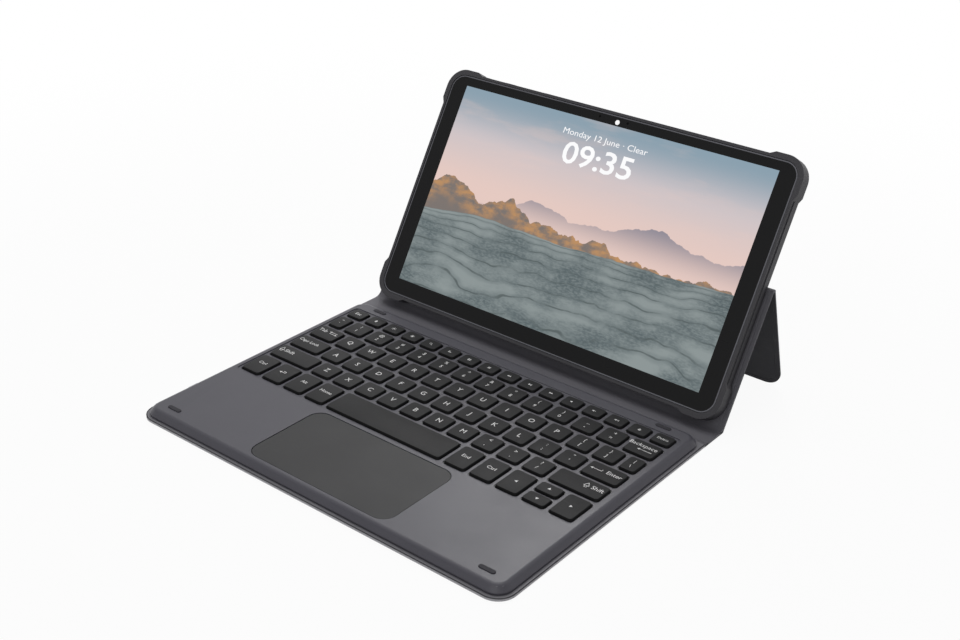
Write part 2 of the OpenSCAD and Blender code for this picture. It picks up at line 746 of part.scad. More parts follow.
module function_keys() caps(FUNCTION, 0, last_place(FUNCTION));
module number_keys() caps(NUMBER, 0, last_place(NUMBER) - 1);
module backspace_key() caps(NUMBER, last_place(NUMBER), last_place(NUMBER));
module tab_key() caps(TOP, 0, 0);
module top_letter_keys() caps(TOP, 1, last_place(TOP));
module caps_lock_key() caps(HOME, 0, 0);
module home_letter_keys() caps(HOME, 1, last_place(HOME) - 1);
module enter_key() caps(HOME, last_place(HOME), last_place(HOME));
module left_shift_key() caps(BOTTOM, 0, 0);
module bottom_letter_keys() caps(BOTTOM, 1, last_place(BOTTOM) - 1);
module right_shift_key() caps(BOTTOM, last_place(BOTTOM), last_place(BOTTOM));
space_place = 4;
module modifier_keys() {
    caps(FRONT, 0, space_place - 1);
    caps(FRONT, space_place + 1, space_place + 2);
}
module space_bar() caps(FRONT, space_place, space_place);
module arrow_keys() {
    caps(FRONT, STACK - 1, STACK - 1);
    caps(FRONT, STACK + 1, STACK + 1);
    color(key_color) for (side = [-1, 1])
        translate([key_x(FRONT, STACK), row_y(FRONT) + side * stack_y, 0])
            cap(key_w(FRONT, STACK), stack_d);
}

base_cover_skin();
base_cover_board();
base_cover_lining();
deck_bottom_shell();
deck_top_shell();
key_backplate();
key_membrane();
rubber_domes();
main_board();
charging_socket();
battery();
touchpad_board();
deck_pads();
cover_magnets();
touchpad_plate();
power_switch();
spine_skin();
spine_stiffener();
lid_panel_skin();
lid_panel_board();
lid_panel_lining();
tablet_shell();
shell_magnets();
kickstand_skin();
kickstand_board();
kickstand_lining();
kickstand_magnets();
tablet_housing();
tablet_glass();
tablet_display();
front_camera_lens();
light_sensor_windows();
rear_camera_ring();
rear_camera_lens();
tablet_socket();
tablet_power_button();
tablet_volume_rocker();
function_keys();
number_keys();
backspace_key();
tab_key();
top_letter_keys();
caps_lock_key();
home_letter_keys();
enter_key();
left_shift_key();
bottom_letter_keys();
right_shift_key();
modifier_keys();
space_bar();
arrow_keys();
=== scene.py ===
import json
import math

import bmesh
import bpy
from mathutils import Matrix, Vector


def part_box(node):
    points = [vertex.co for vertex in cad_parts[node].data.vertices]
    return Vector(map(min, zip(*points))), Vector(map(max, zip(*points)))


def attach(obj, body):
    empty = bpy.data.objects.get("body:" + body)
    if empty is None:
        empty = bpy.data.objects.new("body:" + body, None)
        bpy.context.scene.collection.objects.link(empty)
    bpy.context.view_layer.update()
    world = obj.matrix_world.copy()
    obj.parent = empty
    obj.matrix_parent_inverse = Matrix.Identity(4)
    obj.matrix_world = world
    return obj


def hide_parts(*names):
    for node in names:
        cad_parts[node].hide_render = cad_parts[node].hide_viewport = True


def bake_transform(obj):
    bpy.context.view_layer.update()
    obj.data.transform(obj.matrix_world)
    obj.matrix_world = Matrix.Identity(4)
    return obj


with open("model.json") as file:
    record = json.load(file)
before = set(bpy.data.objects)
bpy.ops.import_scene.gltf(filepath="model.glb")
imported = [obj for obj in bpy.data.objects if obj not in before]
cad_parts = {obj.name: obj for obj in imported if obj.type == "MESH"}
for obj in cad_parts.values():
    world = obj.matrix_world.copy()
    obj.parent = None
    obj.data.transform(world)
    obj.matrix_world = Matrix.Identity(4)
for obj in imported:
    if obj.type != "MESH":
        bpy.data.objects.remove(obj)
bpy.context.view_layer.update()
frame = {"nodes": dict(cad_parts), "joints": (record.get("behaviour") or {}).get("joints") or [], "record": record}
nodes = frame["nodes"]
nodeBody = {name: body for body, names in frame["record"]["behaviour"]["bodies"].items() for name in names}
nodeSlot = {part["node"]: part["material_slot"] for part in frame["record"]["subparts"]}
joints = {joint["name"]: joint for joint in frame["joints"]}
mm = 0.001
# How steeply the lid's panel and the kickstand stand on the table
lidAngle = -math.radians(joints["lid_fold"]["range_deg"][0])
legAngle = math.radians(joints["kickstand_fold"]["range_deg"][1]) - lidAngle
print("frame loaded:", len(nodes), "nodes")


def colour(code, factor=1.0):   # a screen colour such as "#5e5d66" as the linear colour that a shader wants
    parts = [int(code[i:i + 2], 16) / 255 for i in (1, 3, 5)]
    linear = [c / 12.92 if c < 0.04045 else ((c + 0.055) / 1.055) ** 2.4 for c in parts]
    return tuple(c * factor for c in linear) + (1.0,)


def feed(tree, node, inputs):   # a socket is linked, anything else is set as a plain value
    for key, value in inputs.items():
        if isinstance(value, bpy.types.NodeSocket):
            tree.links.new(value, node.inputs[key])
        else:
            node.inputs[key].default_value = value


def addNode(tree, kind, inputs=None, **settings):
    node = tree.nodes.new(kind)
    for key, value in settings.items():
        setattr(node, key, value)
    feed(tree, node, inputs or {})
    return node


def maths(tree, operation, a, b=0.0, c=0.0):
    return addNode(tree, "ShaderNodeMath", {0: a, 1: b, 2: c}, operation=operation).outputs[0]


def mixColour(tree, factor, a, b):
    return addNode(tree, "ShaderNodeMix", {0: factor, 6: a, 7: b}, data_type="RGBA").outputs[2]


def ramp(tree, value, low, high, foot=0.0, top=1.0):   # foot at low, top at high, smooth between
    return addNode(tree, "ShaderNodeMapRange", {0: value, 1: low, 2: high, 3: foot, 4: top},
                   interpolation_type="SMOOTHSTEP").outputs[0]


def objectPlace(tree):
    return addNode(tree, "ShaderNodeTexCoord").outputs["Object"]


def addNoise(tree, place, scale, detail=2.0, rough=0.5, distortion=0.0):
    return addNode(tree, "ShaderNodeTexNoise", {"Vector": place, "Scale": scale, "Detail": detail,
                                                "Roughness": rough, "Distortion": distortion})


def newMaterial(name):
    material = bpy.data.materials.new(name)
    material.use_nodes = True
    return material, material.node_tree, material.node_tree.nodes["Principled BSDF"]


def newGroup(name, inputs, outputs):   # inputs come with their first values, and every socket is a number
    group = bpy.data.node_groups.new(name, "ShaderNodeTree")
    for label, value in inputs.items():
        socket = group.interface.new_socket(label, in_out="INPUT", socket_type="NodeSocketFloat")
        socket.default_value = value
    for label in outputs:
        group.interface.new_socket(label, in_out="OUTPUT", socket_type="NodeSocketFloat")
    return group, group.nodes.new("NodeGroupInput").outputs, group.nodes.new("NodeGroupOutput")


# Pebbled leather: rounded cells with creases between them, pores, and a slow change of depth, per metre
leather = {
    "slowScale": 160.0, "slowDetail": 3.0, "slowHeight": 0.5, "wander": 0.0016, "creaseWidth": 0.22,
    "poreScale": 5200.0, "poreHeight": 0.35,
}


def makeGrainGroup():
    group, given, result = newGroup("leatherGrain", {"Cells": 900.0}, ("Height", "Crease"))
    place = objectPlace(group)
    slow = addNoise(group, place, leather["slowScale"], leather["slowDetail"]).outputs
    bent = addNode(group, "ShaderNodeVectorMath", {0: slow["Color"], 1: (leather["wander"],) * 3},
                   operation="MULTIPLY")
    moved = addNode(group, "ShaderNodeVectorMath", {0: place, 1: bent.outputs[0]}, operation="ADD")
    cells = addNode(group, "ShaderNodeTexVoronoi", {"Vector": moved.outputs[0], "Scale": given["Cells"]},
                    feature="DISTANCE_TO_EDGE")
    crease = ramp(group, cells.outputs["Distance"], 0.0, leather["creaseWidth"])
    pores = addNoise(group, place, leather["poreScale"]).outputs["Fac"]
    height = maths(group, "MULTIPLY_ADD", pores, leather["poreHeight"], crease)
    height = maths(group, "MULTIPLY_ADD", slow["Fac"], leather["slowHeight"], height)
    feed(group, result, {"Height": height, "Crease": maths(group, "SUBTRACT", 1.0, crease)})
    return group


# Moulded or sprayed plastic: a fine noise, and a fleck in the middle of each grain
spray = {"detail": 3.0, "rough": 0.6, "fleckEdge": 0.45, "fleckCore": 0.1}


def makeSprayGroup():
    group, given, result = newGroup("sprayedGrain", {"Grains": 2500.0}, ("Height", "Fleck"))
    place = objectPlace(group)
    fine = addNoise(group, place, given["Grains"], spray["detail"], spray["rough"])
    grains = addNode(group, "ShaderNodeTexVoronoi", {"Vector": place, "Scale": given["Grains"]})
    fleck = ramp(group, grains.outputs["Distance"], spray["fleckEdge"], spray["fleckCore"])
    feed(group, result, {"Height": fine.outputs["Fac"], "Fleck": fleck})
    return group


# What hands leave: faint broad patches, and thin wipes drawn out along one way
handling = {
    "patchDetail": 5.0, "patchRough": 0.62, "patchRange": (0.35, 0.68), "wipeTurn": 0.5, "wipeStretch": 9.0,
    "wipeScale": 120.0, "wipeDetail": 4.0, "wipeDistortion": 0.6, "wipeRange": (0.6, 0.74),
}


def makeHandlingGroup():
    group, given, result = newGroup("handling", {"Size": 22.0}, ("Patches", "Wipes"))
    place = objectPlace(group)
    broad = addNoise(group, place, given["Size"], handling["patchDetail"], handling["patchRough"])
    drawn = addNode(group, "ShaderNodeMapping", {"Vector": place, "Rotation": (0, 0, handling["wipeTurn"]),
                                                 "Scale": (1, handling["wipeStretch"], 1)})
    thin = addNoise(group, drawn.outputs[0], handling["wipeScale"], handling["wipeDetail"],
                    distortion=handling["wipeDistortion"])
    feed(group, result, {"Patches": ramp(group, broad.outputs["Fac"], *handling["patchRange"]),
                         "Wipes": ramp(group, thin.outputs["Fac"], *handling["wipeRange"])})
    return group


def makeBelowGroup():   # 0 above one height and 1 below another, in metres
    group, given, result = newGroup("belowHeight", {"High": 0.001, "Low": 0.0}, ("Below",))
    height = addNode(group, "ShaderNodeSeparateXYZ", {0: objectPlace(group)}).outputs["Z"]
    feed(group, result, {"Below": ramp(group, height, given["High"], given["Low"])})
    return group


grainGroup = makeGrainGroup()
sprayGroup = makeSprayGroup()
handlingGroup = makeHandlingGroup()
belowGroup = makeBelowGroup()

# What a user would change of each finish: its colour and how much that varies, its roughness, and the grain's
# cells per metre and depth in millimetres. Shine is how much of the room a surface gives back, else half
finishes = {
    "coverLeather": {"colour": "#333337", "vary": 0.1, "rough": 0.62, "cells": 950, "depth": 0.05,
                     "shine": 0.2, "grain": "leather"},
    "liningLeather": {"colour": "#65646a", "vary": 0.08, "rough": 0.58, "cells": 1300, "depth": 0.03,
                      "shine": 0.3, "grain": "leather"},
    # a paler copy of the lining leather, as painted light on the base's lip and side
    "edgeLeather": {"colour": "#7a797e", "vary": 0.08, "rough": 0.58, "cells": 1300, "depth": 0.03,
                    "shine": 0.3, "grain": "leather"},
    "deckPaint": {"colour": "#494850", "vary": 0.06, "rough": 0.38, "cells": 3600, "depth": 0.02,
                  "shine": 0.35},
    "capPlastic": {"colour": "#242425", "vary": 0.1, "rough": 0.55, "cells": 3000, "depth": 0.03,
                   "shine": 0.14},
    "legendInk": {"colour": "#e6e6e6", "vary": 0.06, "rough": 0.5, "cells": 4000, "depth": 0.01},
    "padRubber": {"colour": "#353439", "vary": 0.1, "rough": 0.7, "cells": 2600, "depth": 0.04, "shine": 0.2},
    "touchpadFilm": {"colour": "#313132", "vary": 0.05, "rough": 0.46, "cells": 5200, "depth": 0.012,
                     "shine": 0.2},
    "blackPlastic": {"colour": "#1c1c1d", "vary": 0.12, "rough": 0.5, "cells": 3000, "depth": 0.03},
    "shellPlastic": {"colour": "#38373b", "vary": 0.1, "rough": 0.5, "cells": 3000, "depth": 0.035,
                     "shine": 0.35},
    "stiffenerBoard": {"colour": "#6a645c", "vary": 0.18, "rough": 0.85, "cells": 900, "depth": 0.06},
    "clearFilm": {"colour": "#c4c8bd", "vary": 0.06, "rough": 0.35, "cells": 1500, "depth": 0.01},
    "domeRubber": {"colour": "#d4d4cf", "vary": 0.05, "rough": 0.6, "cells": 2400, "depth": 0.02},
    "boardMask": {"colour": "#1d4a30", "vary": 0.14, "rough": 0.4, "cells": 1800, "depth": 0.03},
    "cellFoil": {"colour": "#b4b5ba", "vary": 0.1, "rough": 0.38, "cells": 700, "depth": 0.05},
    "bezelGlass": {"colour": "#161617", "vary": 0.04, "rough": 0.3, "cells": 6000, "depth": 0.003,
                   "shine": 0.12},
    "lensGlass": {"colour": "#0a0b10", "vary": 0.1, "rough": 0.08, "cells": 3000, "depth": 0.002},
    "sensorBlack": {"colour": "#060607", "vary": 0.1, "rough": 0.4, "cells": 3000, "depth": 0.002,
                    "shine": 0.05},
    # the front camera's lens is white and glows, and the glow is a painted highlight
    "lensWhite": {"colour": "#f6f6f6", "vary": 0.02, "rough": 0.3, "cells": 3000, "depth": 0.001,
                  "glow": 0.5},
    "sheetSteel": {"colour": "#a9aaae", "vary": 0.08, "rough": 0.36, "cells": 2000, "depth": 0.03,
                   "metal": 1.0},
    "discMetal": {"colour": "#bdbdc2", "vary": 0.06, "rough": 0.2, "cells": 1600, "depth": 0.02,
                  "metal": 1.0},
    "housingMetal": {"colour": "#5a5a5f", "vary": 0.06, "rough": 0.4, "cells": 4200, "depth": 0.02,
                     "metal": 0.85},
}
# How strongly every finish shows its grain and the marks of hands, and how many patches a metre holds
wear = {"grainTone": 2.0, "grainShare": 0.5, "bump": 0.8, "unworn": 0.03, "patchPolish": 0.05,
        "patchScale": 22.0}


def makeFinish(name):
    look = finishes[name]
    code, vary = look["colour"], look["vary"]
    material, tree, shader = newMaterial(name)
    marks = addNode(tree, "ShaderNodeGroup", {"Size": wear["patchScale"]}, node_tree=handlingGroup).outputs
    if look.get("grain") == "leather":   # creases are darker than the skin, and flecks lighter than the paint
        grain = addNode(tree, "ShaderNodeGroup", {"Cells": look["cells"]}, node_tree=grainGroup).outputs
        detail, toned = grain["Crease"], colour(code, 1 - wear["grainTone"] * vary)
    else:
        grain = addNode(tree, "ShaderNodeGroup", {"Grains": look["cells"]}, node_tree=sprayGroup).outputs
        detail, toned = grain["Fleck"], colour(code, 1 + wear["grainTone"] * vary)
    base = mixColour(tree, marks["Patches"], colour(code, 1 - vary / 2), colour(code, 1 + vary / 2))
    tone = mixColour(tree, maths(tree, "MULTIPLY", detail, wear["grainShare"]), base, toned)
    rough = maths(tree, "MULTIPLY_ADD", marks["Wipes"], -vary, look["rough"] + wear["unworn"])
    rough = maths(tree, "MULTIPLY_ADD", marks["Patches"], -wear["patchPolish"], rough)
    bump = addNode(tree, "ShaderNodeBump", {"Height": grain["Height"], "Distance": look["depth"] * mm,
                                            "Strength": wear["bump"]})
    feed(tree, shader, {
        "Base Color": tone, "Roughness": rough, "Normal": bump.outputs["Normal"],
        "Metallic": look.get("metal", 0.0), "Specular IOR Level": look.get("shine", 0.5),
        "Emission Color": colour(code), "Emission Strength": look.get("glow", 0.0)})
    return material


materials = {name: makeFinish(name) for name in finishes}
print("finishes made:", len(materials))


def toneBelow(finish, high, low, code):   # from one height down to another, a finish turns to another colour
    tree = materials[finish].node_tree
    shader = tree.nodes["Principled BSDF"]
    tone = shader.inputs["Base Color"].links[0].from_socket
    under = addNode(tree, "ShaderNodeGroup", {"High": high * mm, "Low": low * mm}, node_tree=belowGroup)
    feed(tree, shader, {"Base Color": mixColour(tree, under.outputs["Below"], tone, colour(code))})


def startClean():
    if bpy.context.mode != "OBJECT":
        bpy.ops.object.mode_set(mode="OBJECT")
    bpy.ops.object.select_all(action="DESELECT")


def activate(piece):
    startClean()
    piece.select_set(True)
    bpy.context.view_layer.objects.active = piece


alongAxis = 0.9   # a face looks along an axis when its normal reaches this far along it


def pick(piece, kind, test):   # in edit mode, selects only the faces or edges that pass the test
    mesh = bmesh.from_edit_mesh(piece.data)
    bpy.ops.mesh.select_all(action="DESELECT")
    mesh.select_mode = {{"faces": "FACE", "edges": "EDGE"}[kind]}
    for part in getattr(mesh, kind):
        if test(part):
            part.select_set(True)
    mesh.select_flush_mode()
    bmesh.update_edit_mesh(piece.data)


# How the copies of CAD nodes are merged, rounded and shaded, and which faces a seam goes round: millimetres,
# degrees, and how far a normal has to reach along the way that the seam's face looks
rounding = {"mergeWithin": 0.002, "flatWithin": 1, "segments": 2, "sharperThan": 30, "smoothUnder": 40,
            "seamFacing": 0.98, "seamLevel": 0.05}


def smoothShade(degrees):   # of the active piece
    bpy.ops.object.shade_smooth_by_angle(angle=math.radians(degrees))


def evenNormals(piece):   # flat faces stay flat beside their rounded edges
    activate(piece)
    even = piece.modifiers.new("evenNormals", "WEIGHTED_NORMAL")
    even.keep_sharp = True
    bpy.ops.object.modifier_apply(modifier="evenNormals")


def mergedCopy(name):   # a copy of a CAD node as one closed mesh with whole faces
    piece = bpy.data.objects.new(name + "_rounded", nodes[name].data.copy())
    bpy.context.scene.collection.objects.link(piece)
    activate(piece)
    bpy.ops.object.mode_set(mode="EDIT")
    bpy.ops.mesh.select_all(action="SELECT")
    bpy.ops.mesh.remove_doubles(threshold=rounding["mergeWithin"] * mm)
    bpy.ops.mesh.dissolve_limited(angle_limit=math.radians(rounding["flatWithin"]))
    bpy.ops.object.mode_set(mode="OBJECT")
    return piece


def pressSeam(piece, facing, setIn, width, depth):   # a groove around the face that looks along facing
    facing = Vector(facing)
    bpy.ops.object.mode_set(mode="EDIT")
    mesh = bmesh.from_edit_mesh(piece.data)

    def turned(face):
        return face.normal.dot(facing) > rounding["seamFacing"]

    def rise(face):
        return face.calc_center_median().dot(facing)
    lowest = max(rise(face) for face in mesh.faces if turned(face)) - rounding["seamLevel"] * mm
    pick(piece, "faces", lambda face: turned(face) and rise(face) > lowest)
    bpy.ops.mesh.inset(thickness=setIn * mm)
    bpy.ops.mesh.inset(thickness=width / 2 * mm, depth=-depth * mm)
    bpy.ops.mesh.inset(thickness=width / 2 * mm, depth=depth * mm)
    bpy.ops.object.mode_set(mode="OBJECT")


def softCopy(name, width):   # a copy of a CAD node with its seam pressed and its edges rounded
    piece = mergedCopy(name)
    if name in seams:
        pressSeam(piece, *seams[name])
    bevel = piece.modifiers.new("rounding", "BEVEL")
    bevel.width = width * mm
    bevel.segments = rounding["segments"]
    bevel.limit_method = "ANGLE"
    bevel.angle_limit = math.radians(rounding["sharperThan"])
    bpy.ops.object.modifier_apply(modifier="rounding")
    smoothShade(rounding["smoothUnder"])
    evenNormals(piece)
    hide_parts(name)
    return piece


def dress(piece, body, finish):
    piece.data.materials.clear()
    piece.data.materials.append(materials[finish])
    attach(piece, body)


def joinPieces(pieces, name):
    activate(pieces[0])
    for piece in pieces:
        piece.select_set(True)
    if len(pieces) > 1:
        bpy.ops.object.join()
    joined = bpy.context.view_layer.objects.active
    joined.name = name
    joined.data.name = name
    return joined


slotFinish = {
    "cover_skin": "coverLeather", "stiffener": "stiffenerBoard", "cover_lining": "liningLeather",
    "deck_plastic": "deckPaint", "steel": "sheetSteel", "membrane": "clearFilm", "silicone": "domeRubber",
    "circuit_board": "boardMask", "battery_wrap": "cellFoil", "rubber_pad": "padRubber",
    "magnet": "discMetal", "touchpad_surface": "touchpadFilm", "black_plastic": "blackPlastic",
    "keycap": "capPlastic", "shell_plastic": "shellPlastic", "tablet_metal": "housingMetal",
    "black_glass": "bezelGlass", "display": "bezelGlass", "lens": "lensGlass",
}
# The base's cover is painted paler than the lining as painted light, the spine is bound in the lining's leather,
# and the front camera's lens is white and glows as a painted highlight
nodeFinish = {name: slotFinish[slot] for name, slot in nodeSlot.items()} | {
    "base_cover_skin": "edgeLeather", "base_cover_lining": "edgeLeather", "spine_skin": "liningLeather",
    "front_camera_lens": "lensWhite", "light_sensor_windows": "sensorBlack",
}
# Below its top face the base's cover has a dark band of painted shade under the edge, a pale side of painted
# light, and a dark underside in the cover's own leather: the heights between which each begins, in millimetres,
# and its colour
edgeTones = [
    # painted shade: a dark band just under the lip's edge
    (1.57, 1.52, "#242427"),
    # painted light: a pale band down the cover's side
    (1.32, 1.26, "#bdbcc1"),
    (0.1, 0.04, finishes["coverLeather"]["colour"]),
]
for tone in edgeTones:
    toneBelow("edgeLeather", *tone)
toneBelow("liningLeather", *edgeTones[-1])
for name, part in nodes.items():
    part.data.materials.clear()
    part.data.materials.append(materials[nodeFinish[name]])

# Grooves pressed around the boards: the way the face looks, how far in, how wide and how deep, in millimetres
seams = {
    "base_cover_lining": ((0, 0, 1), 0.06, 0.6, 0.3),
    "lid_panel_lining": ((0, -math.sin(lidAngle), math.cos(lidAngle)), 2.2, 0.7, 0.25),
    "kickstand_skin": ((0, -math.sin(legAngle), -math.cos(legAngle)), 2.4, 0.8, 0.25),
    "kickstand_lining": ((0, math.sin(legAngle), math.cos(legAngle)), 2.4, 0.8, 0.18),
}
# How far each visible edge is rounded, in millimetres
edgeRounding = {
    "base_cover_skin": 0.16, "base_cover_lining": 0.14, "deck_bottom_shell": 0.2, "touchpad_plate": 0.14,
    "deck_pads": 0.45, "spine_skin": 0.12, "lid_panel_skin": 0.16, "lid_panel_lining": 0.14,
    "tablet_shell": 0.3, "kickstand_skin": 0.16, "kickstand_lining": 0.14, "tablet_glass": 0.1,
    "tablet_housing": 0.25, "rear_camera_ring": 0.2, "charging_socket": 0.06, "power_switch": 0.2,
    "tablet_power_button": 0.15, "tablet_volume_rocker": 0.15, "tablet_socket": 0.06,
}
for name, width in edgeRounding.items():
    dress(softCopy(name, width), nodeBody[name], nodeFinish[name])
print("edges rounded:", len(edgeRounding))

# The rolled edge in millimetres and its faces, how level its rim is, and how far a face beside it looks up
deck = {"edgeRound": 1.5, "edgeSteps": 5, "rimLevel": 0.01, "slope": (0.2, 0.95), "smoothUnder": 35}


def makeDeck():   # the top shell's outer edge is rolled over, and the edges of its openings stay crisp
    name = "deck_top_shell"
    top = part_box(name)[1].z
    leastSlope, mostSlope = deck["slope"]
    piece = mergedCopy(name)
    bpy.ops.object.mode_set(mode="EDIT")

    def onTopRim(edge):
        inTop = all(abs(v.co.z - top) < deck["rimLevel"] * mm for v in edge.verts)
        sloped = [face for face in edge.link_faces if leastSlope < face.normal.z < mostSlope]
        return inTop and len(sloped) == 1
    pick(piece, "edges", onTopRim)
    bpy.ops.mesh.bevel(offset=deck["edgeRound"] * mm, segments=deck["edgeSteps"], affect="EDGES")
    bpy.ops.object.mode_set(mode="OBJECT")
    smoothShade(deck["smoothUnder"])
    evenNormals(piece)
    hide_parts(name)
    dress(piece, nodeBody[name], nodeFinish[name])


makeDeck()
print("deck made")

# All in millimetres: a cap is hollow, leans in by its taper, and its sides carry painted shade, near-black from
# the top of the side down to its foot
keyboard = {
    "pitch": 17.25, "gap": 2.6, "depths": [10.4, 14.0, 14.0, 14.0, 14.0, 20.0], "stackGap": 1.8, "taper": 0.6,
    "cornerRound": 2.0, "cornerSteps": 5, "topRound": 0.22, "topSteps": 3, "wall": 1.1, "wallDraft": 0.05,
    "topThick": 0.9, "sideShadeTop": 7.24, "sideShadeFoot": 7.02, "sideShadeColour": "#070708", "smoothUnder": 35,
}
unitRows = [   # the width of each cap with its gap, in pitches
    [14 / 16] * 16,
    [0.75] + [1] * 12 + [1.25],
    [1.25] + [1] * 12 + [0.75],
    [1.5] + [1] * 11 + [1.5],
    [2] + [1] * 10 + [2],
    [1, 1, 1, 1, 5, 1, 1, 1, 1, 1],
]
keyGroups = [   # each row's CAD nodes from the left, and how many places each fills
    [("function_keys", 16)],
    [("number_keys", 13), ("backspace_key", 1)],
    [("tab_key", 1), ("top_letter_keys", 13)],
    [("caps_lock_key", 1), ("home_letter_keys", 11), ("enter_key", 1)],
    [("left_shift_key", 1), ("bottom_letter_keys", 10), ("right_shift_key", 1)],
    [("modifier_keys", 4), ("space_bar", 1), ("modifier_keys", 2), ("arrow_keys", 3)],
]
stackRow, stackPlace = 5, 8   # where two half-depth caps share a place
stackUp, stackDown = stackPlace + 0.25, stackPlace - 0.25
capLow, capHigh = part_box("function_keys")
# painted shade: each cap's sides turn near-black below its top
toneBelow("capPlastic", keyboard["sideShadeTop"], keyboard["sideShadeFoot"], keyboard["sideShadeColour"])


def makeCap(x, y, width, depth):   # all in millimetres, x and y at its centre
    height = (capHigh.z - capLow.z) / mm
    startClean()
    bpy.ops.mesh.primitive_cube_add(size=1, location=(x * mm, y * mm, (capLow.z + capHigh.z) / 2),
                                    scale=(width * mm, depth * mm, height * mm))
    cap = bpy.context.object
    bpy.ops.object.transform_apply(location=True, rotation=False, scale=True)
    bpy.ops.object.mode_set(mode="EDIT")
    pick(cap, "edges", lambda edge: abs(edge.verts[0].co.z - edge.verts[1].co.z) > height / 2 * mm)
    bpy.ops.mesh.bevel(offset=keyboard["cornerRound"] * mm, segments=keyboard["cornerSteps"], affect="EDGES")
    pick(cap, "faces", lambda face: face.normal.z > alongAxis)
    shrink = 2 * keyboard["taper"]
    bpy.ops.transform.resize(value=((width - shrink) / width, (depth - shrink) / depth, 1),
                             center_override=(x * mm, y * mm, capHigh.z))
    bpy.ops.mesh.region_to_loop()
    bpy.ops.mesh.bevel(offset=keyboard["topRound"] * mm, segments=keyboard["topSteps"], affect="EDGES")
    pick(cap, "faces", lambda face: face.normal.z < -alongAxis)   # the dome stands in the hollow
    bpy.ops.mesh.inset(thickness=keyboard["wall"] * mm)
    bpy.ops.mesh.inset(thickness=keyboard["wallDraft"] * mm, depth=(keyboard["topThick"] - height) * mm)
    bpy.ops.object.mode_set(mode="OBJECT")
    smoothShade(keyboard["smoothUnder"])
    return cap


def keyPlaces():   # (node, row, place, x, y, width, depth) of every cap, in millimetres
    pitch, gap = keyboard["pitch"], keyboard["gap"]
    rowRear = capHigh.y / mm + gap / 2
    fieldLeft = -sum(unitRows[0]) * pitch / 2
    places = []
    for row, units in enumerate(unitRows):
        depth = keyboard["depths"][row]
        y = rowRear - (depth + gap) / 2
        owners = [name for name, count in keyGroups[row] for _ in range(count)]
        left = fieldLeft
        for place, unit in enumerate(units):
            owner, x, width = owners[place], left + unit * pitch / 2, unit * pitch - gap
            if (row, place) == (stackRow, stackPlace):
                half = (depth - keyboard["stackGap"]) / 2
                aside = (half + keyboard["stackGap"]) / 2
                places.append((owner, row, stackUp, x, y + aside, width, half))
                places.append((owner, row, stackDown, x, y - aside, width, half))
            else:
                places.append((owner, row, place, x, y, width, depth))
            left += unit * pitch
        rowRear -= depth + gap
    return places


allKeys = keyPlaces()
capsOf = {}
for owner, row, place, x, y, width, depth in allKeys:
    capsOf.setdefault(owner, []).append(makeCap(x, y, width, depth))
for owner, caps in capsOf.items():
    group = joinPieces(caps, owner + "_caps")
    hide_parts(owner)
    dress(group, nodeBody[owner], "capPlastic")
print("keycaps made:", len(allKeys))

# In millimetres: heights of capitals, the margin beside a word, where a pair's two signs stand, the ink
# and the parts of an arrow. A line of text is lineOfCapital times as tall as its capitals
legend = {
    "letter": 3.6, "sign": 2.7, "word": 3.1, "long": 2.635, "short": 2.6, "small": 1.9, "margin": 1.6,
    "upper": 2.6, "lower": -2.4, "rise": 0.015, "thick": 0.02, "lineOfCapital": 1.38, "curveSteps": 3,
    "shaft": 0.34, "head": 1.0, "roundCorners": 16,
}
left, right, up, down = math.pi, 0.0, math.pi / 2, -math.pi / 2   # the ways an arrow can point


def addText(x, y, z, body, size, align="CENTER", bold=0.0):   # bold is a share of the size
    startClean()
    bpy.ops.object.text_add(location=(0, 0, 0))
    made = bpy.context.object
    made.data.body = body
    made.data.size = size * mm * legend["lineOfCapital"]
    made.data.align_x = align
    made.data.align_y = "CENTER"
    made.data.resolution_u = legend["curveSteps"]
    made.data.extrude = legend["thick"] / 2 * mm
    made.data.offset = bold * size * mm
    bpy.ops.object.convert(target="MESH")
    made.data.transform(Matrix.Translation((x * mm, y * mm, z)))
    return made


def addBar(x, y, z, width, depth, turn):   # a small flat bar, a part of an icon
    startClean()
    bpy.ops.mesh.primitive_cube_add(size=1, location=(0, 0, 0))
    made = bpy.context.object
    bpy.ops.object.mode_set(mode="EDIT")
    bpy.ops.transform.resize(value=(width * mm, depth * mm, legend["thick"] * mm))
    bpy.ops.object.mode_set(mode="OBJECT")
    made.data.transform(Matrix.Translation((x * mm, y * mm, z)) @ Matrix.Rotation(turn, 4, "Z"))
    return made


def addDot(x, y, z, radius, corners, turn, inner):   # a disc or triangle, hollow where inner isn't 0
    startClean()
    bpy.ops.mesh.primitive_cylinder_add(vertices=corners, radius=radius * mm, depth=legend["thick"] * mm)
    made = bpy.context.object
    if inner:
        bpy.ops.object.mode_set(mode="EDIT")
        pick(made, "faces", lambda face: abs(face.normal.z) > alongAxis)
        bpy.ops.mesh.inset(thickness=(radius - inner) * mm)
        bpy.ops.mesh.bridge_edge_loops()
        bpy.ops.object.mode_set(mode="OBJECT")
    made.data.transform(Matrix.Translation((x * mm, y * mm, z)) @ Matrix.Rotation(turn, 4, "Z"))
    return made


# A sign is a list of marks. Each mark has its maker, where x is measured from (the cap's centre or the margin
# at one side), x and y in millimetres, and the maker's other values
def word(text, size, x=0.0, y=0.0, side="CENTER"):
    return addText, side, x, y, (text, legend[size], side)


def bar(x, y, width, depth, turn=0.0, side="CENTER"):
    return addBar, side, x, y, (width, depth, turn)


def ring(x, y, radius, inner=0.0):   # with no inner radius it is a disc
    return addDot, "CENTER", x, y, (radius, legend["roundCorners"], 0.0, inner)


def triangle(x, y, radius, points, inner=0.0, side="CENTER"):
    return addDot, side, x, y, (radius, 3, points - up, inner)


def arrow(x, y, length, points):
    tip = (x + math.cos(points) * length / 2, y + math.sin(points) * length / 2)
    return [bar(x, y, length, legend["shaft"], points), triangle(*tip, legend["head"], points)]


